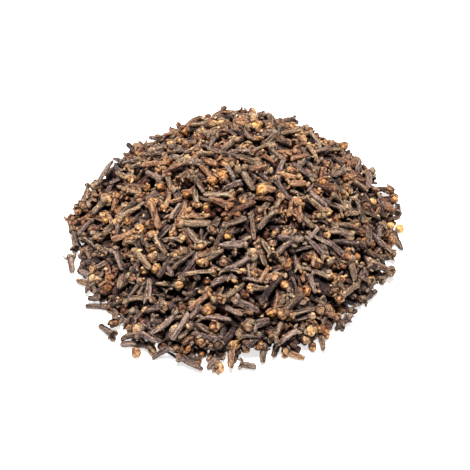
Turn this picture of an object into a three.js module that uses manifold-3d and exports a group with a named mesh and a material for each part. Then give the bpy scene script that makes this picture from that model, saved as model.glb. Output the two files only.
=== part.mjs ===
// A heap of whole cloves lying loose on a flat surface: one solid, a bumpy core with the cloves that
// show fused to it. Millimetres, +Z up, the origin on the surface under the middle of the heap.
import * as THREE from 'three';
import { mergeVertices } from 'three/addons/utils/BufferGeometryUtils.js';
import Module from 'manifold-3d';

const wasm = await Module();
wasm.setup();

// ---------- driving dimensions ----------
const HEAP_RADIUS = 86;           // mean radius of the footprint
const HEAP_HEIGHT = 43;           // height of the smoothed top
const DOME_POWER = 2.1;           // 1 gives a cone, larger numbers a fuller dome
const SWELLS = [                  // slow swells of the footprint: how many round it, size, direction
  { count: 2, size: 3.0, towards: 60 },
  { count: 4, size: 1.6, towards: -5 },
  { count: 5, size: 1.4, towards: 15 },
];

const COVER = 3;                  // how far the core lies under the smoothed top
const CORE_INSET = 5.5;           // how far the core's foot lies inside the footprint
const CORE_FOOT = 3.6;            // height of the core's foot
const CORE_RINGS = 11;
const BUMP_HEIGHT = 1.3;          // bumps of the core, of a clove's size
const BUMP_PITCH = 16;

const CLOVE_LENGTH = 14.5;        // a mean clove, from its tail to the top of its bud
const LENGTH_SPREAD = 1.4;
const SHORTEST = 11;
const LONGEST = 18;
const TAIL_RADIUS = 1.2;
const STEM_RADIUS = 1.9;
const CUP_RADIUS = 2.75;          // where the four sepals flare
const BUD_RADIUS = 1.8;
const SLIMMEST = 0.85;            // share of the radii above
const STOUTEST = 1.15;
const SIDES = 4;                  // a dried clove is roughly square, with a sepal at each corner
const WITH_BUD = 0.7;             // share of the cloves that still have their bud
const TAIL_LIFT = 0.7;            // height of a lying clove's axis over what it lies on
const HEAD_LIFT = 1.3;
const TAIL_SINK = 0.25;           // share of its rise by which a raised clove's tail is sunk

const TOP_CLOVES = 126;           // cloves spread over the dome
const RIM_CLOVES = 32;            // cloves lying round the foot
const DOME_INSET = 9.5;           // the outermost clove of the dome, inside the footprint
const RIM_INSET = 4.5;
const RIM_LAYERS = [0.6, 3];      // the rim's cloves lie in turn on the surface and on the lower ones
const JITTER = 2;                 // how far a clove lies from its place on the spiral
const STEEP_EVERY = 6;            // every sixth clove of the dome stands up steeply,
const STEEP_FIRST = 3;            // from this one on
const SEED = 31;

// Cloves that stick out of the foot, tail to head, and the height of each end over the surface.
const STRAYS = [
  { tail: [-79, -29, 1.6], head: [-82, -17, 2.8] },
  { tail: [-81, -4, 1.6], head: [-86, 8, 2.8] },
  { tail: [-80, -17, 1.6], head: [-81, -4, 2.8] },
  { tail: [-74, -49, 1.6], head: [-61, -47, 2.8] },
  { tail: [-75, -44, 1.6], head: [-62, -43, 4.0] },
  { tail: [-53, -71, 1.6], head: [-38, -74, 2.8] },
  { tail: [-15, -87, 1.6], head: [-28, -78, 2.8] },
  { tail: [-13, -88, 1.6], head: [-5, -76, 2.8] },
  { tail: [-2, -84, 1.6], head: [-1, -70, 5.0] },
  { tail: [11, -86, 1.6], head: [-1, -83, 2.8] },
  { tail: [33, -80, 1.6], head: [22, -77, 2.8] },
  { tail: [42, -77, 1.6], head: [38, -66, 4.6] },
  { tail: [84, -13, 1.6], head: [79, -2, 3.6] },
  { tail: [77, 32, 1.6], head: [88, 24, 2.8] },
];

// ---------- seeded chance ----------
let state = SEED;

function random() {               // mulberry32
  state = (state + 0x6d2b79f5) | 0;
  let t = Math.imul(state ^ (state >>> 15), 1 | state);
  t = (t + Math.imul(t ^ (t >>> 7), 61 | t)) ^ t;
  return ((t ^ (t >>> 14)) >>> 0) / 4294967296;
}

function between(low, high) {
  return low + (high - low) * random();
}

function normal(mean, spread) {
  const sum = random() + random() + random() + random();
  return mean + (sum - 2) * Math.sqrt(3) * spread;
}

// ---------- the heap's form ----------
function footprint(angle) {
  let radius = HEAP_RADIUS;
  for (const { count, size, towards } of SWELLS) {
    radius += size * Math.cos(count * (angle - THREE.MathUtils.degToRad(towards)));
  }
  return radius;
}

function bump(x, y) {
  const wave = (2 * Math.PI) / BUMP_PITCH;
  const across = Math.sin(wave * (x + 0.3 * y)) * Math.sin(wave * (y - 0.4 * x) + 1);
  const along = Math.sin(wave * 0.6 * (x - y) + 2) * Math.sin(wave * 0.8 * (x + y));
  return BUMP_HEIGHT * (across + along) * 0.7;
}

function coreTop(x, y) {
  const share = Math.hypot(x, y) / footprint(Math.atan2(y, x));
  const dome = HEAP_HEIGHT * (1 - Math.min(share, 1) ** DOME_POWER);
  return Math.max(dome - COVER + bump(x, y), CORE_FOOT);
}

// ---------- solids ----------
function closedSolid(geometry) {
  geometry.deleteAttribute('normal');
  geometry.deleteAttribute('uv');
  const merged = mergeVertices(geometry, 1e-4);
  const corners = merged.index.array;
  const kept = [];
  for (let i = 0; i < corners.length; i += 3) {
    const [a, b, c] = corners.slice(i, i + 3);
    if (a !== b && b !== c && c !== a) {
      kept.push(a, b, c);
    }
  }
  const mesh = new wasm.Mesh({
    numProp: 3,
    vertProperties: new Float32Array(merged.attributes.position.array),
    triVerts: new Uint32Array(kept),
  });
  return new wasm.Manifold(mesh);
}

// The core: rings of points over the dome, 6 more in each ring than in the one inside it, then a low
// upright foot and a flat base on the surface.
function makeCore() {
  const points = [0, 0, coreTop(0, 0)];
  const addRing = (ring, height) => {
    const count = 6 * ring;
    for (let i = 0; i < count; i += 1) {
      const angle = (2 * Math.PI * i) / count;
      const radius = (ring / CORE_RINGS) * (footprint(angle) - CORE_INSET);
      const x = radius * Math.cos(angle);
      const y = radius * Math.sin(angle);
      points.push(x, y, height ?? coreTop(x, y));
    }
  };
  for (let ring = 1; ring < CORE_RINGS; ring += 1) {
    addRing(ring);
  }
  addRing(CORE_RINGS, CORE_FOOT);
  addRing(CORE_RINGS, 0);
  points.push(0, 0, 0);

  const base = points.length / 3 - 1;
  const edge = 6 * CORE_RINGS;
  const at = (ring, i) => (ring === 0 ? 0 : 1 + 3 * ring * (ring - 1) + (i % (6 * ring)));
  const faces = [];
  for (let ring = 0; ring < CORE_RINGS; ring += 1) {
    for (let side = 0; side < 6; side += 1) {
      const inner = side * ring;
      const outer = side * (ring + 1);
      for (let i = 0; i <= ring; i += 1) {
        faces.push(at(ring, inner + i), at(ring + 1, outer + i), at(ring + 1, outer + i + 1));
        if (i < ring) {
          faces.push(at(ring, inner + i), at(ring + 1, outer + i + 1), at(ring, inner + i + 1));
        }
      }
    }
  }
  for (let i = 0; i < edge; i += 1) {
    const upper = at(CORE_RINGS, i);
    const upperNext = at(CORE_RINGS, i + 1);
    faces.push(upper, upper + edge, upperNext + edge);
    faces.push(upper, upperNext + edge, upperNext);
    faces.push(base, upperNext + edge, upper + edge);
  }
  const geometry = new THREE.BufferGeometry();
  geometry.setAttribute('position', new THREE.Float32BufferAttribute(points, 3));
  geometry.setIndex(faces);
  return closedSolid(geometry);
}

// One clove from its tail to its head: a tapered stem, the flared sepals, and the bud if it has one.
function makeClove(tail, head, girth, hasBud, roll) {
  const along = new THREE.Vector3().subVectors(head, tail);
  const length = along.length();
  const profile = [
    [0, 0],
    [TAIL_RADIUS * girth, 0.03 * length],
    [STEM_RADIUS * girth, 0.66 * length],
    [CUP_RADIUS * girth, (hasBud ? 0.82 : 0.96) * length],
  ];
  if (hasBud) {
    profile.push([BUD_RADIUS * girth, 0.95 * length]);
  }
  profile.push([0, (hasBud ? 1 : 0.92) * length]);
  const points = profile.map(([radius, height]) => new THREE.Vector2(radius, height));
  const geometry = new THREE.LatheGeometry(points, SIDES);
  const turn = new THREE.Quaternion().setFromUnitVectors(new THREE.Vector3(0, 1, 0), along.normalize());
  geometry.rotateY(roll);
  geometry.applyQuaternion(turn);
  geometry.translate(tail.x, tail.y, tail.z);
  return closedSolid(geometry);
}

function randomClove(x, y, heading, rise, floor) {
  const length = THREE.MathUtils.clamp(normal(CLOVE_LENGTH, LENGTH_SPREAD), SHORTEST, LONGEST);
  const half = Math.sqrt(length ** 2 - rise ** 2) / 2;
  const dx = half * Math.cos(heading);
  const dy = half * Math.sin(heading);
  const sunk = TAIL_LIFT - TAIL_SINK * Math.abs(rise);
  const tail = new THREE.Vector3(x - dx, y - dy, floor(x - dx, y - dy) + sunk);
  const head = new THREE.Vector3(x + dx, y + dy, floor(x + dx, y + dy) + HEAD_LIFT + rise);
  return makeClove(tail, head, between(SLIMMEST, STOUTEST), random() < WITH_BUD, between(0, Math.PI));
}

// Spread evenly over the dome on a sunflower spiral.
function domeCloves() {
  const cloves = [];
  const golden = Math.PI * (3 - Math.sqrt(5));
  for (let k = 0; k < TOP_CLOVES; k += 1) {
    const angle = k * golden;
    const radius = Math.sqrt((k + 0.5) / TOP_CLOVES) * (footprint(angle) - DOME_INSET);
    const x = radius * Math.cos(angle) + between(-JITTER, JITTER);
    const y = radius * Math.sin(angle) + between(-JITTER, JITTER);
    const rise = k % STEEP_EVERY === STEEP_FIRST ? between(6, 10) : between(-1, 2.5);
    cloves.push(randomClove(x, y, between(0, 2 * Math.PI), rise, coreTop));
  }
  return cloves;
}

// Round the foot, lying on the surface at any heading.
function rimCloves() {
  const cloves = [];
  for (let k = 0; k < RIM_CLOVES; k += 1) {
    const angle = (2 * Math.PI * (k + between(-0.3, 0.3))) / RIM_CLOVES;
    const radius = footprint(angle) - RIM_INSET + between(-1, 1);
    const level = RIM_LAYERS[k % RIM_LAYERS.length];
    const x = radius * Math.cos(angle);
    const y = radius * Math.sin(angle);
    cloves.push(randomClove(x, y, between(0, 2 * Math.PI), between(-0.5, 1), () => level));
  }
  return cloves;
}

function strayCloves() {
  return STRAYS.map(({ tail, head }) => (
    makeClove(new THREE.Vector3(...tail), new THREE.Vector3(...head), 1, true, between(0, Math.PI))
  ));
}

// Everything fused, cut flat where it rests; sealed hollows are filled and loose scraps dropped.
function makeHeap() {
  let heap = makeCore();
  for (const clove of [...domeCloves(), ...rimCloves(), ...strayCloves()]) {
    heap = heap.add(clove);
  }
  const above = new THREE.BoxGeometry(4 * HEAP_RADIUS, 4 * HEAP_RADIUS, 2 * HEAP_RADIUS);
  above.translate(0, 0, HEAP_RADIUS);
  heap = heap.intersect(closedSolid(above));
  const shells = heap.decompose();
  return shells.reduce((largest, shell) => (shell.volume() > largest.volume() ? shell : largest));
}

function toGeometry(solid) {
  const { vertProperties, triVerts } = solid.getMesh();
  const geometry = new THREE.BufferGeometry();
  geometry.setAttribute('position', new THREE.BufferAttribute(vertProperties, 3));
  geometry.setIndex(new THREE.BufferAttribute(triVerts, 1));
  geometry.computeVertexNormals();
  return geometry;
}

// ---------- the model ----------
const driedClove = new THREE.MeshStandardMaterial({ color: 0x6e4f3a, roughness: 0.75, metalness: 0 });

const heapMesh = new THREE.Mesh(toGeometry(makeHeap()), driedClove);
heapMesh.name = 'clove_heap';

const model = new THREE.Group();
model.add(heapMesh);

export default model;
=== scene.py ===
"""A heap of whole dried cloves lying loose on a white surface.

The CAD model's one node is replaced by whole cloves, each a mesh of its own shape, which a seeded
simulation lets settle over a bumpy core, painted dark as painted shade. Lengths are millimetres until a mesh
is made.
"""

import math

import bpy
import numpy as np
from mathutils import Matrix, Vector


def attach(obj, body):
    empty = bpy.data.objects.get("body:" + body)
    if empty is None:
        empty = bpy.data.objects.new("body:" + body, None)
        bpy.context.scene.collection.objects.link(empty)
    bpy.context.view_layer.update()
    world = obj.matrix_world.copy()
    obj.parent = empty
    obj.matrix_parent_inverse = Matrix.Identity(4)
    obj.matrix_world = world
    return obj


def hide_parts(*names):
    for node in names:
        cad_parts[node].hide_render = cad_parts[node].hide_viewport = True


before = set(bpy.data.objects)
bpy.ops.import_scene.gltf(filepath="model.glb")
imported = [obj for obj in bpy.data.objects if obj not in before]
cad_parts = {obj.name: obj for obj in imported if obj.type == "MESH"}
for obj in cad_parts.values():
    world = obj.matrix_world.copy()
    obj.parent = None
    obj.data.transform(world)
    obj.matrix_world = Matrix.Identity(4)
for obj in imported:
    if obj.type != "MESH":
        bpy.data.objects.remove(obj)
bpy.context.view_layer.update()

MM = 0.001
NODE = "clove_heap"
SEED = 20

# ---------- the heap ----------
HEAP_RADIUS = 86.0                # mean radius of the footprint, as in the CAD model
SWELLS = ((2, 3.0, 60), (4, 1.6, -5), (5, 1.4, 15))    # how many round it, size, direction
BAYS = ((90, 14, 2.5), (69, 6, -2.5), (57, 6, -1.5), (40, 7, 1.5), (23, 7, -4.0), (2, 8, 0.5),
        (-20, 10, 3.0), (-43, 8, -1.5), (-85, 25, -2.5), (-138, 9, -4.5), (-167, 8, -1.5),
        (174, 9, 2.0), (126, 8, -2.5), (109, 6, -3.5))    # direction, spread, how much further out
HEAP_HEIGHT = 50.0                # before the cloves settle
DOME_POWER = 2.1                  # the higher, the flatter the top and the steeper the foot
SHELL = 14.0                      # depth of loose cloves over the core
CORE_BUMP, CORE_PITCH = 1.5, 11.0
CORE_RAMP = 6.0                   # the bumps fade out below this height
CORE_SINK = 0.4                   # the core's mesh lies this far under what the cloves rest on
CORE_RIM, CORE_UNDERSIDE = 0.3, 0.1    # heights of its rim and its underside
CORE_RINGS, CORE_SIDES = 30, 96

# ---------- its pieces ----------
CLOVES = 1420                     # some roll past the foot and are left out
KINDS = ("whole", "open", "bud", "stalk")
SHARES = (0.6, 0.27, 0.07, 0.06)  # of these kinds
LENGTH, LENGTH_SPREAD, SHORTEST, LONGEST = 15.2, 2.0, 10.0, 19.5
GIRTH, GIRTH_SPREAD, SLIMMEST, FATTEST = 1.5, 0.2, 1.05, 1.85    # radius of the stem
OPEN_LENGTH = 0.88                # of a clove without its bud, against a whole one
SMALL_SIZES = (("bud", (4.0, 5.2), (2.0, 2.6)), ("stalk", (7, 14), (0.6, 0.95)))    # length, radius
SHADE, SHADE_SPREAD, DARKEST_SHADE = 0.46, 0.2, 0.02    # how pale the buds are, 1 at most
CRUMBS, CRUMB_RADII, CRUMB_INSET = 900, (0.3, 1.0), 6.0
CRUMB_LIFT, CRUMB_TILT = 0.3, 0.4 # over what it lies on, in its radii, and the spread of its tilt

# ---------- how they start, settle and are left out ----------
LAYERS, FIRST_LAYER = 3, 0.6
START_INSET = 11.0                # the cloves start this far inside the edge
SCATTER, LIFT_SCATTER = 1.5, 1.0  # of the starting places
TABLE_START, FOOT_INSET, LEAST_ROOM = 2.2, 3.0, 0.5    # heights, where there is no core under them
FOOT_TILT, TOP_TILT = 0.12, 0.45  # spread of their tilt
SETTLING_STEPS = 90
LIP = -2.5, 2.5                   # how far past the edge a settled clove may reach
BEADS = 6                         # spheres that stand in for a clove while it settles
TAIL_INSET, BEAD_REACH = 0.2, 1.28    # places of the stem's beads, in half lengths
TAIL_BEAD, NECK_MORE = 0.85, 0.2      # their radii, in stem radii
HEAD_INSET, HEAD_BEAD = 1.4, 1.65     # place and radius of the head's bead, in stem radii
BUD_BEADS = 0.2                   # a loose bud's beads lie this near its middle

# ---------- strays ----------
STRAY_GIRTH = 1.6                 # at least
STRAY_REST = 1.45                 # height of a stray's middle over the table, in stem radii
BUD_TILT, LEAST_TILT, TILT_LIFT = 0.3, 0.08, 14.0    # a stray leans by lift / TILT_LIFT more

# What the photo shows singly at the foot: kind, tail, head, lift and shade.
STRAYS = (
    ("whole", (-74, -50), (-59, -52), 0.0, 0.4),
    ("open", (-73, -47), (-64, -48), 2.6, 0.4),
    ("whole", (-60, -51), (-59, -65), 1.4, 0.35),
    ("open", (-66, -62), (-57, -70), 0.0, 0.2),
    ("bud", (-52, -65), (-50, -65), 1.5, 0.35),
    ("open", (-55, -71), (-42, -72), 1.6, 0.3),
    ("whole", (-55, -73), (-37, -76), 0.2, 0.75),
    ("bud", (-48, -78), (-46, -78), 0.0, 0.45),
    ("whole", (-35, -74), (-30, -61), 3.2, 0.35),
    ("bud", (-39, -69), (-37, -67), 2.4, 0.75),
    ("bud", (-33, -74), (-31, -74), 0.4, 0.45),
    ("open", (-25, -72), (-33, -72), 0.6, 0.3),
    ("whole", (-15, -88), (-28, -81), 1.5, 0.35),
    ("whole", (-31, -71), (-21, -81), 3.5, 0.5),
    ("open", (-13, -83), (-9, -74), 0.3, 0.1),
    ("whole", (-13, -87), (-5, -78), 0.3, 0.5),
    ("whole", (-11, -88), (-5, -87), 0.0, 0.7),
    ("whole", (-2, -89), (-1, -76), 5.5, 0.7),
    ("open", (10, -86), (0, -85), 0.0, 0.55),
    ("bud", (4, -78), (6, -77), 2.0, 0.75),
    ("whole", (13, -84), (14, -74), 1.2, 0.6),
    ("open", (18, -81), (21, -70), 1.6, 0.2),
    ("whole", (33, -81), (22, -77), 0.0, 0.5),
    ("open", (33, -67), (29, -73), 1.4, 0.6),
    ("bud", (35, -71), (37, -71), 1.0, 0.65),
    ("bud", (36, -75), (38, -75), 0.0, 0.35),
    ("open", (42, -77), (40, -66), 1.2, 0.35),
    ("bud", (43, -68), (45, -68), 0.3, 0.4),
    ("whole", (40, -68), (47, -55), 4.6, 0.4),
    ("bud", (39, -57), (41, -56), 4.2, 0.8),
    ("open", (50, -59), (51, -66), 0.2, 0.2),
    ("whole", (47, -47), (53, -58), 2.6, 0.65),
    ("open", (51, -63), (57, -58), 1.2, 0.3),
    ("open", (71, -41), (62, -50), 0.8, 0.5),
    ("open", (79, -28), (72, -37), 0.8, 0.6),
    ("bud", (67, -37), (69, -36), 3.0, 0.75),
    ("open", (87, -14), (83, -1), 0.5, 0.4),
    ("bud", (81, -1), (83, 0), 3.0, 0.9),
    ("bud", (86, 0), (88, 0), 0.0, 0.85),
    ("open", (88, 18), (86, 8), 0.6, 0.7),
    ("open", (87, 23), (81, 29), 0.8, 0.4),
    ("open", (74, 38), (67, 48), 1.5, 0.5),
    ("whole", (53, 66), (63, 56), 3.5, 0.5),
    ("open", (22, 84), (14, 80), 7.5, 0.3),
    ("bud", (9, 82), (11, 83), 9.5, 0.6),
    ("open", (5, 86), (4, 78), 8.5, 0.2),
    ("open", (-14, 83), (-3, 82), 8.5, 0.7),
    ("open", (-85, -6), (-81, -18), 1.4, 0.5),
    ("open", (-83, -29), (-85, -18), 0.3, 0.5),
    ("open", (-86, -3), (-89, 9), 0.4, 0.6),
    ("whole", (-79, -28), (-69, -39), 3.2, 0.7),
    ("open", (-80, -34), (-70, -39), 0.6, 0.3),
    ("open", (-75, -43), (-65, -37), 2.4, 0.3),
    ("whole", (-84, 9), (-79, 22), 2.6, 0.3),
    ("open", (-65, 46), (-53, 56), 5.5, 0.2),
    ("whole", (77, 21), (88, 18), 3.0, 0.6),
    ("open", (50, -52), (59, -58), 2.4, 0.4),
)

# ---------- tones and tints: how pale and how warm a piece is ----------
STEM_TONE, STEM_TONE_SPREAD, STEM_TONES = 0.47, 0.115, (0.12, 0.59)    # mean, spread and limits
PALE_BUD_TONE, MIDDLE_SHADE = 0.12, 0.45    # a bud paler than this sits on a paler stem
STALK_TONE, LOOSE_BUD_TONE = 0.1, 0.05    # paler by this
CRUMB_TONE, CRUMB_TONE_SPREAD, PALEST_CRUMB = 0.55, 0.3, 1.1
# painted shade: the core is painted darker than the cloves
CORE_SHADE_TONE = 0.3
STEM_TINTS = (0.0, 0.6, 1.0, 1.8)    # grey, mixed, tan and rust stems
TINT_SHARES = (0.3, 0.27, 0.22, 0.21)
TINT_JITTER, WARMEST = 0.2, 2.0
TINT_SLOPE = 0.3                  # warmer towards the back
BUD_WARMTH = 1.1                  # of a bud that has come off its clove
SEPAL_WARMTH = 0.45               # against the stem
CRUMB_TINT, CORE_TINT = 0.4, 0.2
BUD_ORANGE_SHARE = 0.6            # how orange a tint of 1 makes a bud

# ---------- the heap's top, and the painted shade between the cloves ---
GRID_PITCH, GRID_MARGIN = 1.3, 30.0    # of the map of the heap's top
BURIED_DEPTH = 12.0               # a piece this far under the top gets few sides
PAINTED_SHADE_PER_MM = 0.15                       # painted shade: how much darker a point is painted for each millimetre under the top
PAINTED_SHADE_SLOPE = 0.5                  # more painted shade towards the back
FOOT_PAINTED_SHADE = 0.16                 # painted shade: how much darker the pieces at the foot are painted
FOOT, LOWEST_SHARE = 13.0, 0.35   # up to this height less shade is painted into the gaps
SPARED = 0.8                      # share of the painted shade that a piece in the open is spared

# ---------- meshes, light and camera ----------
MOST_TRIANGLES = 190000           # in one mesh
LOWEST = 0.02                     # no point lies lower over the table
UV_MARGIN = 0.04                  # round each piece's cell of the UV map
NOISE_SHIFT = 500.0               # each piece has its own stretch of the noise, up to this far off
SHEEN = 0.25                      # a dry surface mirrors little
FLOOR_HALF = 12.0                 # metres
FLOOR_WHITE = 0.95
FLOOR_GLOW = 0.7                  # the photo's floor is overexposed
WORLD_LIGHT = 0.04
LAMP_PLACE, LAMP_SIZE, LAMP_POWER = Vector((0.0, -0.05, 0.9)), 0.25, 20.7    # metres, watts
ELEVATION, DISTANCE, AIM = 49.0, 500.0, (0.0, -9.0, 8.0)
FRAME_PIXELS, PIXELS_PER_MM = 470, 1.93
SENSOR = 36.0


def footprint(angle):
    """The heap's radius in a direction, without the bays."""
    radius = HEAP_RADIUS
    for count, size, towards in SWELLS:
        radius = radius + size * np.cos(count * (angle - math.radians(towards)))
    return radius


def edge(angle):
    """How far the loose cloves reach: the footprint, with the bays and tongues that the photo shows."""
    reach = footprint(angle)
    for towards, spread, more in BAYS:
        away = (np.degrees(angle) - towards + 180) % 360 - 180
        reach = reach + more * np.exp(-(away / spread) ** 2)
    return reach


def dome(x, y):
    """The heap's top before the cloves settle."""
    share = np.hypot(x, y) / footprint(np.arctan2(y, x))
    return HEAP_HEIGHT * (1 - np.minimum(share, 1) ** DOME_POWER)


def core_top(x, y):
    """The surface that the loose cloves rest on: the bumpy core, and the table round it."""
    wave = 2 * math.pi / CORE_PITCH
    bumps = np.sin(wave * (x + 0.3 * y)) * np.sin(wave * (y - 0.4 * x))
    bumps = bumps + np.sin(wave * 0.63 * (x - y) + 2) * np.sin(wave * 0.77 * (x + y) + 1)
    height = dome(x, y) - SHELL
    return np.where(height > 0, height + CORE_BUMP * bumps * np.clip(height / CORE_RAMP, 0, 1), 0)


def core_slope(x, y):
    """Height and upward normal of core_top."""
    step = 0.5
    z = core_top(x, y)
    dx = (core_top(x + step, y) - core_top(x - step, y)) / (2 * step)
    dy = (core_top(x, y + step) - core_top(x, y - step)) / (2 * step)
    normal = np.stack([-dx, -dy, np.ones_like(z)], -1)
    return z, normal / np.linalg.norm(normal, axis=-1, keepdims=True)


# ---------- settling ----------
NEIGHBOURS = [(dx, dy, dz) for dx in (-1, 0, 1) for dy in (-1, 0, 1) for dz in (-1, 0, 1)
              if (dx, dy, dz) >= (0, 0, 0)]


def near_pairs(points, reach):
    """Index pairs of points that lie in the same or a neighbouring cell of a grid."""
    cell = np.floor(points / reach).astype(np.int64)
    cell -= cell.min(0) - 1
    size = cell.max(0) + 2
    key = (cell[:, 0] * size[1] + cell[:, 1]) * size[2] + cell[:, 2]
    order = np.argsort(key, kind="stable")
    ranked = key[order]
    firsts, seconds = [], []
    for dx, dy, dz in NEIGHBOURS:
        other = key + (dx * size[1] + dy) * size[2] + dz
        low = np.searchsorted(ranked, other, "left")
        count = np.searchsorted(ranked, other, "right") - low
        first = np.repeat(np.arange(len(points)), count)
        place = np.arange(len(first)) - np.repeat(np.cumsum(count) - count, count)
        second = order[np.repeat(low, count) + place]
        if (dx, dy, dz) == (0, 0, 0):
            keep = first < second
            first, second = first[keep], second[keep]
        firsts.append(first)
        seconds.append(second)
    return np.concatenate(firsts), np.concatenate(seconds)


def settle(centre, axis, beads, radii, held, steps):
    """Lets rods of beads fall and push each other apart; held is 1 for a rod that stays put.

    Millimetres and seconds. Beads with a gap of less than skin between them are looked up as pairs,
    again whenever the rods may have moved by half of it. A rod that is pushed in many places takes a
    share of each push.
    """
    gravity, dt, fastest, damping = 9810.0, 1 / 240, 90.0, 0.93
    rounds, sharing = 4, 0.45
    grip, skin, half_length = 0.7, 0.9, 8
    tiny = 1e-9
    n, k = beads.shape
    mass = radii ** 3 / (radii ** 3).sum(1, keepdims=True)
    shift = (mass * beads).sum(1)
    centre = centre + axis * shift[:, None]
    beads = beads - shift[:, None]
    inertia = np.maximum((mass * beads ** 2).sum(1), 1.0)
    rod = np.repeat(np.arange(n), k)
    arm = beads.ravel()
    radius = radii.ravel()
    free = 1.0 - held
    weight = (1 + arm ** 2 / inertia[rod]) * free[rod]
    velocity = np.zeros_like(centre)
    spin = np.zeros_like(centre)
    moved = np.inf
    for _ in range(steps):
        centre_was, axis_was = centre, axis
        velocity[:, 2] -= gravity * dt
        speed = np.linalg.norm(velocity, axis=1)
        velocity *= np.minimum(1, fastest / np.maximum(speed, tiny))[:, None]
        centre = centre + velocity * dt * free[:, None]
        axis = axis + spin * dt * free[:, None]
        axis = axis / np.linalg.norm(axis, axis=1, keepdims=True)
        point_was = centre_was[rod] + arm[:, None] * axis_was[rod]
        if moved > skin / 2:
            point = centre[rod] + arm[:, None] * axis[rod]
            i, j = near_pairs(point, 2 * radius.max() + skin)
            gap = ((point[i] - point[j]) ** 2).sum(1)
            keep = (rod[i] != rod[j]) & (gap < (radius[i] + radius[j] + skin) ** 2)
            keep &= weight[i] + weight[j] > 0
            i, j = i[keep], j[keep]
            moved = 0.0
        for _ in range(rounds):
            # Beads that overlap push each other apart, and their surfaces drag on each other.
            point = centre[rod] + arm[:, None] * axis[rod]
            apart = point[i] - point[j]
            distance = np.sqrt((apart ** 2).sum(1))
            depth = radius[i] + radius[j] - distance
            hit = depth > 0
            a, b, depth = i[hit], j[hit], depth[hit]
            normal = apart[hit] / np.maximum(distance[hit], tiny)[:, None]
            slide = apart[hit] - (point_was[a] - point_was[b])
            slide -= (slide * normal).sum(1)[:, None] * normal
            drag = np.minimum(1, grip * depth / np.maximum(np.linalg.norm(slide, axis=1), tiny))
            push = (depth[:, None] * normal - drag[:, None] * slide) / (weight[a] + weight[b])[:, None]
            # Beads that sink into the core or the table are lifted out and held.
            floor, up = core_slope(point[:, 0], point[:, 1])
            sunk = radius - (point[:, 2] - floor) * up[:, 2]
            low = np.nonzero((sunk > 0) & (weight > 0))[0]
            up, sunk = up[low], sunk[low]
            skid = point[low] - point_was[low]
            skid -= (skid * up).sum(1)[:, None] * up
            hold = np.minimum(1, grip * sunk / np.maximum(np.linalg.norm(skid, axis=1), tiny))
            lift = (sunk[:, None] * up - hold[:, None] * skid) / weight[low][:, None]
            # Each rod moves and turns by what its beads are pushed.
            beads_hit = np.concatenate([a, b, low])
            who = rod[beads_hit]
            pushes = np.concatenate([push, -push, lift])
            turns = pushes * arm[beads_hit][:, None]
            share = free / np.maximum(1, sharing * np.bincount(who, minlength=n))
            move = np.stack([np.bincount(who, pushes[:, c], n) for c in range(3)], 1)
            turn = np.stack([np.bincount(who, turns[:, c], n) for c in range(3)], 1)
            centre = centre + move * share[:, None]
            axis = axis + turn * (share / inertia)[:, None]
            axis = axis / np.linalg.norm(axis, axis=1, keepdims=True)
        velocity = (centre - centre_was) / dt * damping
        spin = (axis - axis_was) / dt * damping
        moved += np.abs(centre - centre_was).max() + half_length * np.abs(axis - axis_was).max()
    return centre - axis * shift[:, None], axis


def direction(yaw, pitch):
    """Unit vectors."""
    return np.stack([np.cos(yaw) * np.cos(pitch), np.sin(yaw) * np.cos(pitch), np.sin(pitch)], -1)


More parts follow.
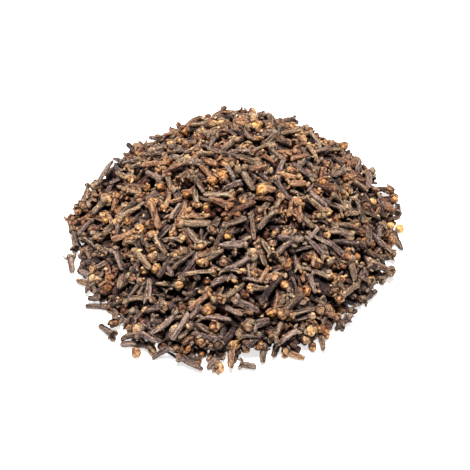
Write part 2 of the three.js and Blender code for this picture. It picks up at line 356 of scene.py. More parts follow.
class Cloves:
    """Kind, size, place and direction of every piece of the heap, strays at the end."""

    def __init__(self, rng):
        n = CLOVES + len(STRAYS)
        self.kind = rng.choice(KINDS, n, p=SHARES)
        self.kind[CLOVES:] = [stray[0] for stray in STRAYS]
        self.length = np.clip(rng.normal(LENGTH, LENGTH_SPREAD, n), SHORTEST, LONGEST)
        self.girth = np.clip(rng.normal(GIRTH, GIRTH_SPREAD, n), SLIMMEST, FATTEST)
        self.length[self.kind == "open"] *= OPEN_LENGTH
        for kind, lengths, radii in SMALL_SIZES:
            rows = self.kind == kind
            self.length[rows] = rng.uniform(*lengths, rows.sum())
            self.girth[rows] = rng.uniform(*radii, rows.sum())
        self.shade = np.clip(rng.normal(SHADE, SHADE_SPREAD, n), DARKEST_SHADE, 1)
        self.held = np.zeros(n)
        self.spread(rng, CLOVES)
        self.pin(slice(CLOVES, n))

    def spread(self, rng, n):
        """Starts the loose pieces in layers over the core, on a sunflower's even spiral."""
        order = np.arange(n)
        layer = order % LAYERS
        turn = order * math.pi * (3 - math.sqrt(5))
        reach = np.sqrt((order + 0.5) / n) * (edge(turn) - START_INSET)
        x = reach * np.cos(turn) + rng.normal(0, SCATTER, n)
        y = reach * np.sin(turn) + rng.normal(0, SCATTER, n)
        lift = (layer + FIRST_LAYER) * SHELL / LAYERS + rng.uniform(-LIFT_SCATTER, LIFT_SCATTER, n)
        z = core_top(x, y) + lift
        low = dome(x, y) < SHELL
        z[low] = TABLE_START + layer[low] * np.maximum(dome(x, y)[low] - FOOT_INSET, LEAST_ROOM) / LAYERS
        pitch = rng.normal(0, np.where(low, FOOT_TILT, TOP_TILT))
        self.centre = np.stack([x, y, z], 1)
        self.axis = direction(rng.uniform(0, 2 * math.pi, n), pitch)

    def pin(self, rows):
        """Lays the strays where the photo shows them."""
        tails = np.array([stray[1] for stray in STRAYS], float)
        heads = np.array([stray[2] for stray in STRAYS], float)
        across = heads - tails
        single = self.kind[rows] == "bud"
        far = np.hypot(*across.T)
        self.length[rows] = np.where(single, self.length[rows], far)
        self.girth[rows] = np.maximum(self.girth[rows], STRAY_GIRTH)
        lift = np.array([stray[3] for stray in STRAYS])
        base = np.where(single, self.length[rows] / 2, STRAY_REST * self.girth[rows])
        middle = np.column_stack([(tails + heads) / 2, base + lift])
        self.centre = np.concatenate([self.centre, middle])
        tilt = np.where(single, BUD_TILT, LEAST_TILT + lift / TILT_LIFT)
        self.axis = np.concatenate([self.axis, direction(np.arctan2(across[:, 1], across[:, 0]), tilt)])
        self.shade[rows] = [stray[4] for stray in STRAYS]
        self.held[rows] = 1.0

    def beads(self):
        """Places along the axis and radii of each piece's beads."""
        n = len(self.length)
        spot = np.arange(BEADS - 1) / (BEADS - 2)
        half, girth = self.length[:, None] / 2, self.girth[:, None]
        along = np.empty((n, BEADS))
        size = np.empty((n, BEADS))
        along[:, :-1] = half * (-1 + TAIL_INSET + BEAD_REACH * spot)
        size[:, :-1] = girth * (TAIL_BEAD + NECK_MORE * spot)
        along[:, -1:] = half - HEAD_INSET * girth
        size[:, -1:] = HEAD_BEAD * girth
        bud = self.kind == "bud"
        along[bud] = np.linspace(-BUD_BEADS, BUD_BEADS, BEADS)
        size[bud] = self.length[bud, None] / 2
        stalk = self.kind == "stalk"
        size[stalk] = self.girth[stalk, None]
        return along, size

    def settle(self):
        """Lets the loose pieces fall into place."""
        along, size = self.beads()
        self.centre, self.axis = settle(self.centre, self.axis, along, size, self.held, SETTLING_STEPS)

    def drop(self, rng):
        """Leaves out what rolled past the foot of the heap."""
        ends = self.centre[:, None] + np.array([-0.5, 0.5])[:, None] * (
            self.length[:, None, None] * self.axis[:, None])
        past = np.hypot(ends[..., 0], ends[..., 1]) - edge(np.arctan2(ends[..., 1], ends[..., 0]))
        lip = rng.uniform(*LIP, len(past))
        rows = (past.max(1) < lip) | (self.held > 0)
        for name in ("kind", "length", "girth", "shade", "held", "centre", "axis"):
            setattr(self, name, getattr(self, name)[rows])


class Surface:
    """The top of the settled heap, as a grid of the highest beads, smoothed over its neighbours."""

    def __init__(self, cloves):
        along, size = cloves.beads()
        points = cloves.centre[:, None] + along[..., None] * cloves.axis[:, None]
        self.half = math.ceil((HEAP_RADIUS + GRID_MARGIN) / GRID_PITCH)
        high = np.zeros((2 * self.half, 2 * self.half))
        cell = self.cell(points)
        np.maximum.at(high, (cell[..., 0], cell[..., 1]), points[..., 2] + size)
        steps = (-1, 0, 1)
        for smooth in (np.max, np.mean, np.mean):
            high = smooth([np.roll(high, (i, j), (0, 1)) for i in steps for j in steps], 0)
        self.high = high
        self.depths = self.depth(points - size[..., None] * [0, 0, 1]).mean(1)

    def cell(self, points):
        """Row and column of the map under each point."""
        return np.floor(points[..., :2] / GRID_PITCH).astype(int) + self.half

    def depth(self, points):
        """How far points lie under the top of the heap round them."""
        cell = self.cell(points)
        return np.maximum(self.high[cell[..., 0], cell[..., 1]] - points[..., 2], 0)

    def painted_shade(self, points):
        """Painted shade: how much darker points are painted for lying under the top, more so at the back of
        the heap.

        At its foot less shade is painted into the gaps, but the whole foot is painted a little darker.
        """
        cell = self.cell(points)
        share = np.clip(self.high[cell[..., 0], cell[..., 1]] / FOOT, LOWEST_SHARE, 1)
        slope = 1 + PAINTED_SHADE_SLOPE * points[..., 1] / HEAP_RADIUS
        return PAINTED_SHADE_PER_MM * slope * self.depth(points) * share ** 2 + FOOT_PAINTED_SHADE * (1 - share)


# ---------- shapes ----------
AHEAD = np.array([1.0, 0.0, 0.0])
SKIN, BUD = 0, 1                  # material indices of a piece

# Stems, in their lengths and radii: places from tail to head and the radii there.
STEM = ((0, 0.03, 0.08, 0.2, 0.5, 0.75, 0.88, 0.95, 1.0),
        (0.62, 0.84, 0.92, 0.95, 0.97, 0.97, 1.0, 1.14, 1.42))
STALK = ((0, 0.1, 0.5, 0.9, 1), (1.2, 0.9, 0.8, 0.9, 1.3))
TAPERS, TAPER_END = (0.03, 0.32), 0.6    # how much thinner a stem's tail is, and where that ends
KNOBS = ((2, 0.05), (5, 0.04), (9, 0.03))    # along it: how many half waves, size
FOLDS, FOLD_TWIST = ((2, 0.06), (3, 0.05), (4, 0.05), (5, 0.05)), 2    # round it: how many, size
PITS, PIT_TWIST = ((3, 0.04), (5, 0.04)), 9    # round it, and turning fast along it
TWIST_SPREAD = 1.6                # of the twist of these ripples
NECK_CORNERS, NECK_PART = 0.1, 8  # the last eighth of a stem gets square
TAIL_ROUND = 0.16                 # how far its tail bulges
BEND = 0.06                       # spread of the bend, in lengths
NOD, NOD_START, NOD_RISE = 1.4, 0.6, 6    # a head's bend of its own, against the stem's
RIDGE_HIGHLIGHT_PIT_SHADE = 1.7                 # painted highlight on the ridges and painted shade in the pits
NECK_TONE, NECK_TONE_PART = 0.14, 6    # paler over the last sixth
TAIL_TONE_HOLLOW_SHADE = 0.02, -0.15      # at the tail, and painted shade in the hollow of the head

# Heads of whole cloves, in the head's radii, and of open ones, in the stem's.
HEAD_RADII = 1.25, 1.7            # in the stem's
HEAD_LENGTH, HEAD_SEAT = 1.4, 0.55    # past the stem: the head's end and its middle
OPEN_RADIUS, OPEN_LENGTH_PAST, OPEN_SEAT = 1.25, 1.3, 0.5
STEM_HOLLOW, OPEN_HOLLOW = 0.2, 0.5    # how deep the stem's end is sunk in

# Sepals: lobes that hug a ball, in the ball's radii. Angles are seen from its middle, from the tail on.
LOBE_START, LOBE_ENDS, LOBE_JITTER = 0.85, (1.35, 2.0), 0.14
LOBE_REACH = 1.14                 # from the ball's middle to the lobe's
LOBE_RINGS = ((-0.1, 0.6, 0.22), (0.35, 0.78, 0.3),
              (0.75, 0.64, 0.26), (1.0, 0.34, 0.16))    # place along the lobe, half width, half thickness
LOBE_ROOT = 0.6, 0.5              # how far the root is back and out from the ball's middle
LOBE_TIP = 1.1                    # where the tip ends, as a ring's first number
WHOLE_FLARE, OPEN_FLARE, FLARE_SPREAD = 0.12, 0.2, 0.2
SEPAL_RING_HIGHLIGHTS = np.array([0.0, 0.07, 0.12, 0.18])    # painted highlight of the rings, from root to tip
SEPAL_EDGE_HIGHLIGHT_INSIDE_SHADE = np.array([0.1, 0.0, 0.1, -0.15])    # edge, outside, edge, inside: painted highlight on the edges, painted shade inside
# painted highlight at the root and the tip of each lobe
SEPAL_END_HIGHLIGHTS = 0.0, 0.22

# Buds, in their radii. Angles are from the top down.
LUMPS, LUMP_TWIST = ((1, 0.06), (2, 0.07), (3, 0.06), (5, 0.05)), 2.5
SEAMS, SEAM_END = (0.06, 0.24), 2.3    # depths between the petals, and where they end
BUD_LENGTHS, LOOSE_BUD_LENGTHS, CRUMB_LENGTHS = (0.75, 1.0), (0.8, 1.0), (0.4, 2.0)    # against width
BUD_TOPS = 0.7, 1.0               # how high the top is, against half the length
# Painted shade in the seams, painted highlight on the lumps and painted shade between them
BUD_TONE, SEAM_SHADE, LUMP_HIGHLIGHT_AND_SHADE = 0.12, 0.5, 1.6
UNDERSIDE, UNDERSIDE_SHADE = 1.3, 0.3    # from this angle on it is painted darker: painted shade towards its foot
BUD_TIP_SHADES = -0.4, -0.2        # painted shade at the foot and at the top

# Rings and sides of the meshes, fine ones and plain ones, and the parts of a UV cell that they fill.
STEM_MESH = {True: (14, 12), False: (6, 6)}
BUD_MESH = {True: (8, 16), False: (4, 6)}
STALK_MESH, LOOSE_BUD_MESH, CRUMB_MESH = (10, 8), (9, 16), (4, 6)
STEM_PATCH, BUD_PATCH, CORE_PATCH = (0, 0, 0.5, 1), (0.74, 0, 1, 1), (0, 0, 1, 1)
SEPAL_PATCH = 0.52, 0.01, 0.72, 0.24    # the first sepal's


class Shape:
    """Faces laid out once for many pieces, each with places, tones and a cell of the UV map of its own."""

    def __init__(self, count, rng):
        self.count = count
        self.rng = rng
        self.points, self.tones, self.warmths = [], [], []
        self.faces, self.spots, self.slots = [], [], []
        self.used = 0
        self.clear = np.zeros(count)      # 1 for a piece that lies in the open, which is spared most of the painted shade

    def tube(self, rings, tips, tone, tip_tone, patch, slot, warmth=0.0):
        """Adds rings (count, j, k, 3) of points from tail to head, closed by tips (count, 2, 3)."""
        n, j, k, _ = rings.shape
        base = self.used
        self.points += [rings.reshape(n, j * k, 3), tips]
        self.tones += [np.broadcast_to(tone, (n, j, k)).reshape(n, j * k),
                       np.broadcast_to(tip_tone, (n, 2))]
        self.warmths.append(np.full(j * k + 2, warmth))
        self.used += j * k + 2
        u0, v0, u1, v1 = patch
        us = u0 + (u1 - u0) * np.arange(j + 2) / (j + 1)
        vs = v0 + (v1 - v0) * np.arange(k + 1) / k

        def corner(ring, side):
            return base + ring * k + side % k

        for side in range(k):
            near, far, middle = vs[side], vs[side + 1], (vs[side] + vs[side + 1]) / 2
            self.faces.append((base + j * k, corner(0, side + 1), corner(0, side)))
            self.spots.append(((us[0], middle), (us[1], far), (us[1], near)))
            for ring in range(j - 1):
                self.faces.append((corner(ring, side), corner(ring, side + 1),
                                   corner(ring + 1, side + 1), corner(ring + 1, side)))
                self.spots.append(((us[ring + 1], near), (us[ring + 1], far),
                                   (us[ring + 2], far), (us[ring + 2], near)))
            self.faces.append((corner(j - 1, side), corner(j - 1, side + 1), base + j * k + 1))
            self.spots.append(((us[j], near), (us[j], far), (us[j + 1], middle)))
        self.slots += [slot] * (k * (j + 1))

    def vary(self, low, high):
        """One number for each piece, shaped to multiply its rings."""
        return self.rng.uniform(low, high, (self.count, 1, 1))

    def waves(self, ripples, angle, drift=0.0):
        """Ripples of these counts and sizes, with phases and twists of their own for each piece."""
        total = 0.0
        for count, size in ripples:
            twist = self.rng.normal(0, TWIST_SPREAD, (self.count, 1, 1))
            total = total + size * np.cos(count * angle + self.vary(0, 2 * math.pi) + twist * drift)
        return total

    def bend(self, length, amount):
        """Curves each piece a little in a direction of its own."""
        turn = self.rng.uniform(0, 2 * math.pi, (self.count, 1))
        arch = self.rng.normal(0, amount, (self.count, 1)) * length[:, None]
        nod = self.rng.normal(0, amount * NOD, (self.count, 1)) * length[:, None]
        for points in self.points:
            share = points[..., 0] / length[:, None]
            curve = 4 * arch * share * (1 - share)
            rise = nod * np.clip(share - NOD_START, 0, 1) ** 2 * NOD_RISE
            points[..., 1] += curve * np.cos(turn) + rise
            points[..., 2] += curve * np.sin(turn)

    def place(self, centre, axis, length):
        """Turns +X to each axis, with a random roll, and puts the middle of the length at centre."""
        self.local = np.concatenate(self.points, 1)
        side = np.cross(axis, self.rng.normal(size=axis.shape))
        side /= np.linalg.norm(side, axis=1, keepdims=True)
        ways = np.stack([axis, side, np.cross(axis, side)], 1)
        middle = self.local - AHEAD * (length / 2)[:, None, None]
        self.world = centre[:, None] + middle @ ways

    def pieces(self, name, tint, surface, materials, slot):
        """Joined meshes of the copies, as few as the limit on one piece's faces allows."""
        faces = sum(len(face) - 2 for face in self.faces)
        parts = math.ceil(self.count * faces / MOST_TRIANGLES)
        for part, rows in enumerate(np.array_split(np.arange(self.count), parts)):
            label = name if parts == 1 else f"{name}_{part + 1}"
            self.piece(label, rows, tint, surface, materials, slot)

    def piece(self, name, rows, tint, surface, materials, slot):
        """One mesh of the copies at these rows, with tone, tint and noise places for its materials."""
        n = len(rows)
        world = self.world[rows]
        world[..., 2] = np.maximum(world[..., 2], LOWEST)
        sizes = np.array([len(face) for face in self.faces])
        corners = np.concatenate([np.array(face) for face in self.faces])
        mesh = bpy.data.meshes.new(name)
        mesh.vertices.add(n * self.used)
        mesh.vertices.foreach_set("co", (world * MM).ravel())
        mesh.loops.add(n * len(corners))
        loops = corners + self.used * np.arange(n)[:, None]
        mesh.loops.foreach_set("vertex_index", loops.astype(np.int32).ravel())
        mesh.polygons.add(n * len(sizes))
        starts = np.cumsum(np.tile(sizes, n)) - np.tile(sizes, n)
        mesh.polygons.foreach_set("loop_start", starts.astype(np.int32))
        mesh.polygons.foreach_set("material_index", np.tile(np.array(self.slots, np.int32), n))
        mesh.update(calc_edges=True)
        mesh.polygons.foreach_set("use_smooth", np.ones(n * len(sizes), bool))
        # Painted shade: the tone is darkened under the heap's top and at its foot
        painted_shade = surface.painted_shade(world) * (1 - SPARED * self.clear[rows, None])
        tone = np.concatenate(self.tones, 1)[rows] - painted_shade
        mesh.attributes.new("tone", "FLOAT", "POINT").data.foreach_set("value", tone.ravel())
        hue = tint[rows, None] + np.concatenate(self.warmths)
        mesh.attributes.new("tint", "FLOAT", "POINT").data.foreach_set("value", hue.ravel())
        own = self.local[rows] + self.rng.uniform(-NOISE_SHIFT, NOISE_SHIFT, (n, 1, 3))
        mesh.attributes.new("own", "FLOAT_VECTOR", "POINT").data.foreach_set("vector", own.ravel())
        cells = math.ceil(math.sqrt(n))
        spots = np.concatenate([np.array(spot) for spot in self.spots])
        cell = np.stack([np.arange(n) % cells, np.arange(n) // cells], 1)
        spots = (cell[:, None] + UV_MARGIN + (1 - 2 * UV_MARGIN) * spots) / cells
        mesh.uv_layers.new(name="OFBake").uv.foreach_set("vector", spots.astype(np.float32).ravel())
        for material in materials:
            mesh.materials.append(material)
        piece = bpy.data.objects.new(name, mesh)
        bpy.context.scene.collection.objects.link(piece)
        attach(piece, "root")
        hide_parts(NODE)


def last(t, parts):
    """Rises from 0 to 1 over the last of so many parts of t."""
    return np.clip(t * parts - (parts - 1), 0, 1)


def add_stem(shape, stem, girth, tone, mesh, profile, hollow):
    """A wrinkled, knobby stem along +X, sunk in at the head by this much of its girth."""
    rings, sides = mesh
    t = np.linspace(0, 1, rings)[None, :, None]
    angle = (2 * math.pi * np.arange(sides) / sides)[None, None, :]
    taper = shape.vary(*TAPERS) * np.clip(1 - t / TAPER_END, 0, 1)
    knobs = shape.waves(KNOBS, math.pi * t)
    folds = shape.waves(FOLDS, angle, FOLD_TWIST * t)
    pits = shape.waves(PITS, angle, PIT_TWIST * t)
    corners = -NECK_CORNERS * np.cos(4 * angle) * last(t, NECK_PART)
    radius = girth * np.interp(t, *profile) * (1 - taper + knobs + folds + pits + corners)
    points = np.stack([stem * t + 0 * angle, radius * np.cos(angle), radius * np.sin(angle)], -1)
    tips = np.zeros((shape.count, 2, 3))
    tips[:, :1, :1] = -TAIL_ROUND * girth
    tips[:, 1:, :1] = stem - hollow * girth
    # Painted highlight on ridges and painted shade in pits and in the head's hollow; the neck's paler tone
    # is its own colour
    relief = (folds + pits) * RIDGE_HIGHLIGHT_PIT_SHADE + NECK_TONE * last(t, NECK_TONE_PART)
    shape.tube(points, tips, tone + relief, tone[:, 0] + TAIL_TONE_HOLLOW_SHADE, STEM_PATCH, SKIN)


def add_sepals(shape, at, radius, tone, flare):
    """Four thick blunt lobes that hug a ball of this radius with its middle at this place on the axis."""
    n = shape.count
    for quarter in range(4):
        turn = math.pi / 4 + quarter * math.pi / 2 + shape.rng.normal(0, LOBE_JITTER, (n, 1))
        out = np.stack([0 * turn, np.cos(turn), np.sin(turn)], -1)
        side = np.stack([0 * turn, -np.sin(turn), np.cos(turn)], -1)
        gape = shape.rng.normal(flare, FLARE_SPREAD, (n, 1, 1))
        end = shape.vary(*LOBE_ENDS)

        def spot(share):
            """Middle of the lobe at this share of its length, and its outward direction there."""
            swing = LOBE_START + (end - LOBE_START) * share
            face = np.sin(swing) * out - np.cos(swing) * AHEAD
            return at * AHEAD + radius * (LOBE_REACH + gape * share ** 2) * face, face

        rings = []
        for share, width, thick in LOBE_RINGS:
            middle, face = spot(share)
            across, through = width * radius * side, thick * radius * face
            rings.append(np.stack([middle - across, middle + through, middle + across, middle - through], 2))
        back, away = LOBE_ROOT
        root = (at - back * radius) * AHEAD + away * radius * out
        tips = np.concatenate([root, spot(LOBE_TIP)[0]], 1)
        # Painted highlight towards the tip and on the edges, painted shade on the inside against the ball
        tones = tone + SEPAL_RING_HIGHLIGHTS[None, :, None] + SEPAL_EDGE_HIGHLIGHT_INSIDE_SHADE
        u0, v0, u1, v1 = SEPAL_PATCH
        patch = (u0, quarter / 4 + v0, u1, quarter / 4 + v1)
        shape.tube(np.concatenate(rings, 1), tips, tones, tone[:, 0] + SEPAL_END_HIGHLIGHTS, patch, SKIN,
                   SEPAL_WARMTH)


def add_bud(shape, at, radius, tone, mesh, flatness):
    """A lumpy ball of four folded petals, with its middle at this place on the axis."""
    rings, sides = mesh
    down = (math.pi * np.arange(rings, 0, -1) / (rings + 1))[None, :, None]
    angle = (2 * math.pi * np.arange(sides) / sides)[None, None, :]
    swirl = 2 * angle + shape.vary(0, math.pi) + shape.vary(-1, 1) * down
    seam = (1 - np.abs(np.sin(swirl))) ** 2 * np.clip(SEAM_END - down, 0, 1)
    lumps = shape.waves(LUMPS, angle, LUMP_TWIST * down) * np.sin(down)
    size = radius * (1 - shape.vary(*SEAMS) * seam + lumps)
    points = np.stack([at + flatness * size * np.cos(down), size * np.sin(down) * np.cos(angle),
                       size * np.sin(down) * np.sin(angle)], -1)
    tips = np.zeros((shape.count, 2, 3))
    tips[:, :1, :1] = at - radius * flatness
    tips[:, 1:, :1] = at + radius * flatness * shape.vary(*BUD_TOPS)
    under = np.clip(down - UNDERSIDE, 0, 1)
    # Painted shade in the seams, towards the foot and at the tips; painted highlight on the lumps
    tones = tone + BUD_TONE - SEAM_SHADE * seam + LUMP_HIGHLIGHT_AND_SHADE * lumps - UNDERSIDE_SHADE * under
    shape.tube(points, tips, tones, tone[:, 0] + BUD_TIP_SHADES, BUD_PATCH, BUD)


def make_kind(cloves, kind, rows, fine, rng):
    """The pieces of one kind at these rows, with few sides where they lie deep."""
    length, girth = cloves.length[rows], cloves.girth[rows][:, None, None]
    shade = cloves.shade[rows][:, None, None]
    whole = length[:, None, None]
    shape = Shape(len(length), rng)
    shape.clear = cloves.held[rows]
    tone = rng.normal(STEM_TONE, STEM_TONE_SPREAD, shade.shape) + PALE_BUD_TONE * (shade - MIDDLE_SHADE)
    tone = np.clip(tone, *STEM_TONES)
    if kind == "whole":
        radius = girth * shape.vary(*HEAD_RADII)
        stem = whole - HEAD_LENGTH * radius
        add_stem(shape, stem, girth, tone, STEM_MESH[fine], STEM, STEM_HOLLOW)
        add_sepals(shape, stem + HEAD_SEAT * radius, radius, tone, WHOLE_FLARE)
        add_bud(shape, stem + HEAD_SEAT * radius, radius, shade, BUD_MESH[fine], shape.vary(*BUD_LENGTHS))
    elif kind == "open":
        stem = whole - OPEN_LENGTH_PAST * girth
        add_stem(shape, stem, girth, tone, STEM_MESH[fine], STEM, OPEN_HOLLOW)
        add_sepals(shape, stem + OPEN_SEAT * girth, OPEN_RADIUS * girth, tone, OPEN_FLARE)
    elif kind == "bud":
        add_bud(shape, whole / 2, whole / 2, shade + LOOSE_BUD_TONE, LOOSE_BUD_MESH,
                shape.vary(*LOOSE_BUD_LENGTHS))
    else:
        add_stem(shape, whole, girth, tone + STALK_TONE, STALK_MESH, STALK, 0.0)
    shape.bend(length, BEND)
    shape.place(cloves.centre[rows], cloves.axis[rows], length)
    return shape


def make_crumbs(cloves, rng):
    """Bits of petal and bark lying on the pieces and in the gaps between them."""
    along, size = cloves.beads()
    points = (cloves.centre[:, None] + along[..., None] * cloves.axis[:, None]).reshape(-1, 3)
    turn = rng.uniform(0, 2 * math.pi, CRUMBS)
    reach = np.sqrt(rng.uniform(0, 1, CRUMBS)) * (footprint(turn) - CRUMB_INSET)
    x, y = reach * np.cos(turn), reach * np.sin(turn)
    room = size.reshape(-1) ** 2 - (points[:, 0] - x[:, None]) ** 2 - (points[:, 1] - y[:, None]) ** 2
    top = np.where(room > 0, points[:, 2] + np.sqrt(np.maximum(room, 0)), 0).max(1)
    top = np.maximum(top, core_top(x, y))
    radius = rng.uniform(*CRUMB_RADII, CRUMBS)
    shape = Shape(CRUMBS, rng)
    shade = np.clip(rng.normal(CRUMB_TONE, CRUMB_TONE_SPREAD, (CRUMBS, 1, 1)), 0, PALEST_CRUMB)
    ball = radius[:, None, None]
    add_bud(shape, 0 * ball, ball, shade, CRUMB_MESH, shape.vary(*CRUMB_LENGTHS))
    place = np.stack([x, y, top + CRUMB_LIFT * radius], 1)
    axis = direction(rng.uniform(0, 2 * math.pi, CRUMBS), rng.normal(0, CRUMB_TILT, CRUMBS))
    shape.place(place, axis, 0 * radius)
    return shape


def make_core(rng):
    """The inside of the heap under the loose cloves, painted dark as painted shade."""
    angle = 2 * np.pi * np.arange(CORE_SIDES) / CORE_SIDES
    share = np.linspace(0, 1, CORE_RINGS + 1)[1:]
    reach = (1 - SHELL / HEAP_HEIGHT) ** (1 / DOME_POWER)
    radius = share[:, None] * reach * footprint(angle)
    x, y = radius * np.cos(angle), radius * np.sin(angle)
    top = np.stack([x, y, np.maximum(core_top(x, y) - CORE_SINK, CORE_RIM)], -1)
    under = top[-1:] * [1, 1, 0] + [0, 0, CORE_UNDERSIDE]
    points = np.concatenate([top, under])[None]
    tips = np.array([[[0, 0, core_top(0.0, 0.0) - CORE_SINK], [0, 0, CORE_UNDERSIDE]]])
    shape = Shape(1, rng)
    tone = np.full((1, 1, 1), CORE_SHADE_TONE)
    shape.tube(points[:, :, ::-1], tips, tone, tone[0], CORE_PATCH, SKIN)
    shape.local = np.concatenate(shape.points, 1)
    shape.world = shape.local
    return shape


# ---------- materials ----------
STOPS = 0.0, 0.3, 0.6, 1.0        # tones of the four colours of a ramp, which are linear RGB
GREY = (0.011, 0.005, 0.006), (0.056, 0.031, 0.027), (0.187, 0.121, 0.098), (0.455, 0.325, 0.24)
TAN = (0.013, 0.006, 0.005), (0.064, 0.034, 0.021), (0.218, 0.139, 0.082), (0.485, 0.355, 0.21)
RUST = (0.018, 0.005, 0.004), (0.096, 0.036, 0.021), (0.3, 0.138, 0.074), (0.56, 0.345, 0.17)
BUD_TAN = (0.025, 0.01, 0.007), (0.11, 0.048, 0.028), (0.335, 0.187, 0.095), (0.62, 0.43, 0.235)
BUD_ORANGE = (0.03, 0.009, 0.005), (0.14, 0.046, 0.018), (0.4, 0.178, 0.055), (0.68, 0.4, 0.125)


def nodes_of(name, roughness):
    """A dry material of this name, its node tree and its shader."""
    material = bpy.data.materials.new(name)
    material.use_nodes = True
    tree = material.node_tree
    shader = tree.nodes["Principled BSDF"]
    shader.inputs["Roughness"].default_value = roughness
    shader.inputs["Specular IOR Level"].default_value = SHEEN
    return material, tree, shader


def ramp(tree, factor, colours):
    """The colour for a tone."""
    node = tree.nodes.new("ShaderNodeValToRGB")
    tree.links.new(factor, node.inputs["Fac"])
    elements = node.color_ramp.elements
    for index, (position, colour) in enumerate(zip(STOPS, colours)):
        element = elements[index] if index < 2 else elements.new(position)
        element.position = position
        element.color = (*colour, 1)
    return node.outputs["Color"]


def maths(tree, operation, *values):
    """The result of an operation on numbers or sockets."""
    node = tree.nodes.new("ShaderNodeMath")
    node.operation = operation
    for socket, value in zip(node.inputs, values):
        if isinstance(value, (int, float)):
            socket.default_value = value
        else:
            tree.links.new(value, socket)
    return node.outputs[0]


def attribute(tree, name, output="Fac"):
    """What a mesh says of a point under this name."""
    node = tree.nodes.new("ShaderNodeAttribute")
    node.attribute_name = name
    return node.outputs[output]


def blend(tree, share, first, second):
    """The first colour, going over to the second as the share rises from 0 to 1."""
    mix = tree.nodes.new("ShaderNodeMix")
    mix.data_type = "RGBA"
    ends = {socket.identifier: socket for socket in mix.inputs}
    tree.links.new(share, ends["Factor_Float"])
    tree.links.new(first, ends["A_Color"])
    tree.links.new(second, ends["B_Color"])
    return next(socket for socket in mix.outputs if socket.identifier == "Result_Color")


def noise(tree, vector, cells, detail, shift):
    """Noise about nought in a piece's own millimetres, with cells of these sizes along and across it.

    The shift along the piece keeps one noise from repeating another.
    """
    mapping = tree.nodes.new("ShaderNodeMapping")
    mapping.inputs["Scale"].default_value = [1 / size for size in cells]
    mapping.inputs["Location"].default_value = (shift, 0, 0)
    tree.links.new(vector, mapping.inputs["Vector"])
    texture = tree.nodes.new("ShaderNodeTexNoise")
    texture.inputs["Scale"].default_value = 1.0
    texture.inputs["Detail"].default_value = detail
    tree.links.new(mapping.outputs["Vector"], texture.inputs["Vector"])
    return maths(tree, "SUBTRACT", texture.outputs["Fac"], 0.5)


def add_bump(tree, shader, height, depth):
    """Relief of this depth in millimetres."""
    bump = tree.nodes.new("ShaderNodeBump")
    bump.inputs["Distance"].default_value = depth * MM
    bump.inputs["Strength"].default_value = 1.0
    tree.links.new(height, bump.inputs["Height"])
    tree.links.new(bump.outputs["Normal"], shader.inputs["Normal"])


def skin_material():
    """Dry wrinkled skin of stems and sepals, from grey over tan to rust."""
    material, tree, shader = nodes_of("clove_skin", roughness=0.6)
    own = attribute(tree, "own", "Vector")
    wrinkles = noise(tree, own, (3.0, 0.6, 0.6), detail=3, shift=0)
    grain = noise(tree, own, (0.6, 0.45, 0.45), detail=1, shift=20)
    blotches = noise(tree, own, (3.5, 2.5, 2.5), detail=2, shift=40)
    drift = noise(tree, own, (3.0, 1.8, 1.8), detail=1, shift=60)
    tone = attribute(tree, "tone")
    for part, strength in ((wrinkles, 1.0), (grain, 1.4), (blotches, 0.25)):
        tone = maths(tree, "MULTIPLY_ADD", part, strength, tone)
    tint = maths(tree, "MULTIPLY_ADD", drift, 2.0, attribute(tree, "tint"))
    to_tan = maths(tree, "MINIMUM", maths(tree, "MAXIMUM", tint, 0.0), 1.0)
    to_rust = maths(tree, "MAXIMUM", maths(tree, "SUBTRACT", tint, 1.0), 0.0)
    colour = blend(tree, to_tan, ramp(tree, tone, GREY), ramp(tree, tone, TAN))
    colour = blend(tree, to_rust, colour, ramp(tree, tone, RUST))
    tree.links.new(colour, shader.inputs["Base Color"])
    add_bump(tree, shader, maths(tree, "MULTIPLY_ADD", grain, 0.6, wrinkles), depth=0.8)
    return material


def bud_material():
    """The dry petals of a bud, from tan to orange."""
    material, tree, shader = nodes_of("clove_bud", roughness=0.5)
    own = attribute(tree, "own", "Vector")
    folds = noise(tree, own, (1.6, 1.1, 1.1), detail=3, shift=10)
    grain = noise(tree, own, (0.6, 0.6, 0.6), detail=1, shift=30)
    tone = attribute(tree, "tone")
    for part, strength in ((folds, 1.1), (grain, 0.8)):
        tone = maths(tree, "MULTIPLY_ADD", part, strength, tone)
    to_orange = maths(tree, "MULTIPLY", attribute(tree, "tint"), BUD_ORANGE_SHARE)
    colour = blend(tree, to_orange, ramp(tree, tone, BUD_TAN), ramp(tree, tone, BUD_ORANGE))
    tree.links.new(colour, shader.inputs["Base Color"])
    add_bump(tree, shader, maths(tree, "MULTIPLY_ADD", grain, 0.4, folds), depth=0.6)
    return material


# ---------- floor, light and camera ----------
def make_floor():
    """The white surface under the heap."""
    mesh = bpy.data.meshes.new("floor")
    half = FLOOR_HALF
    mesh.from_pydata([(-half, -half, 0), (half, -half, 0), (half, half, 0), (-half, half, 0)], [],
                     [(0, 1, 2, 3)])
    material, _, shader = nodes_of("floor_white", roughness=0.9)
    shader.inputs["Base Color"].default_value = (FLOOR_WHITE, FLOOR_WHITE, FLOOR_WHITE, 1)
    shader.inputs["Emission Color"].default_value = (1, 1, 1, 1)
    shader.inputs["Emission Strength"].default_value = FLOOR_GLOW
    mesh.materials.append(material)
    floor = bpy.data.objects.new("floor", mesh)
    bpy.context.scene.collection.objects.link(floor)


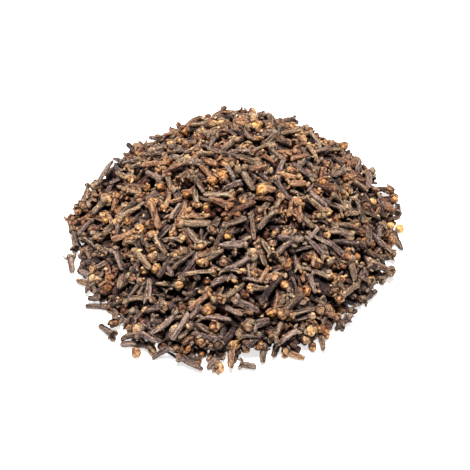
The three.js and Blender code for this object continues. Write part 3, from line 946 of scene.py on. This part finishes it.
def make_camera():
    """The photo's camera, in front of the heap and above it."""
    data = bpy.data.cameras.new("camera")
    camera = bpy.data.objects.new("camera", data)
    bpy.context.scene.collection.objects.link(camera)
    tilt = math.radians(ELEVATION)
    back = Vector((0, -math.cos(tilt), math.sin(tilt)))
    camera.location = (Vector(AIM) + back * DISTANCE) * MM
    camera.rotation_euler = (-back).to_track_quat("-Z", "Y").to_euler()
    data.sensor_width = SENSOR
    data.lens = PIXELS_PER_MM * DISTANCE * data.sensor_width / FRAME_PIXELS
    bpy.context.scene.camera = camera


def make_light():
    """One small softbox overhead, and a faint glow from all round."""
    world = bpy.data.worlds.new("studio")
    bpy.context.scene.world = world
    world.use_nodes = True
    world.node_tree.nodes["Background"].inputs["Color"].default_value = (1, 1, 1, 1)
    world.node_tree.nodes["Background"].inputs["Strength"].default_value = WORLD_LIGHT
    data = bpy.data.lights.new("softbox", "AREA")
    data.size = LAMP_SIZE
    data.energy = LAMP_POWER
    lamp = bpy.data.objects.new("softbox", data)
    bpy.context.scene.collection.objects.link(lamp)
    lamp.location = LAMP_PLACE
    lamp.rotation_euler = (-lamp.location).to_track_quat("-Z", "Y").to_euler()


# ---------- assembly ----------
rng = np.random.default_rng(SEED)
cloves = Cloves(rng)
cloves.settle()
cloves.drop(rng)
surface = Surface(cloves)
deep = surface.depths > BURIED_DEPTH
materials = [skin_material(), bud_material()]
tints = rng.choice(STEM_TINTS, len(deep), p=TINT_SHARES) + rng.uniform(0, TINT_JITTER, len(deep))
tints[cloves.kind == "bud"] += BUD_WARMTH
tints = np.clip(tints + TINT_SLOPE * cloves.centre[:, 1] / HEAP_RADIUS, 0, WARMEST)
for kind in KINDS:
    for fine in (True, False):
        rows = (cloves.kind == kind) & (deep != fine)
        if rows.any():
            shape = make_kind(cloves, kind, rows, fine, rng)
            label = f"cloves_{kind}" if fine else f"cloves_{kind}_deep"
            shape.pieces(label, tints[rows], surface, materials, "bud" if kind == "bud" else "clove")
make_crumbs(cloves, rng).pieces("crumbs", np.full(CRUMBS, CRUMB_TINT), surface, materials, "bud")
make_core(rng).pieces("heap_core", np.full(1, CORE_TINT), surface, materials, "clove")

make_floor()
make_light()
make_camera()
bpy.context.scene.view_settings.view_transform = "Standard"
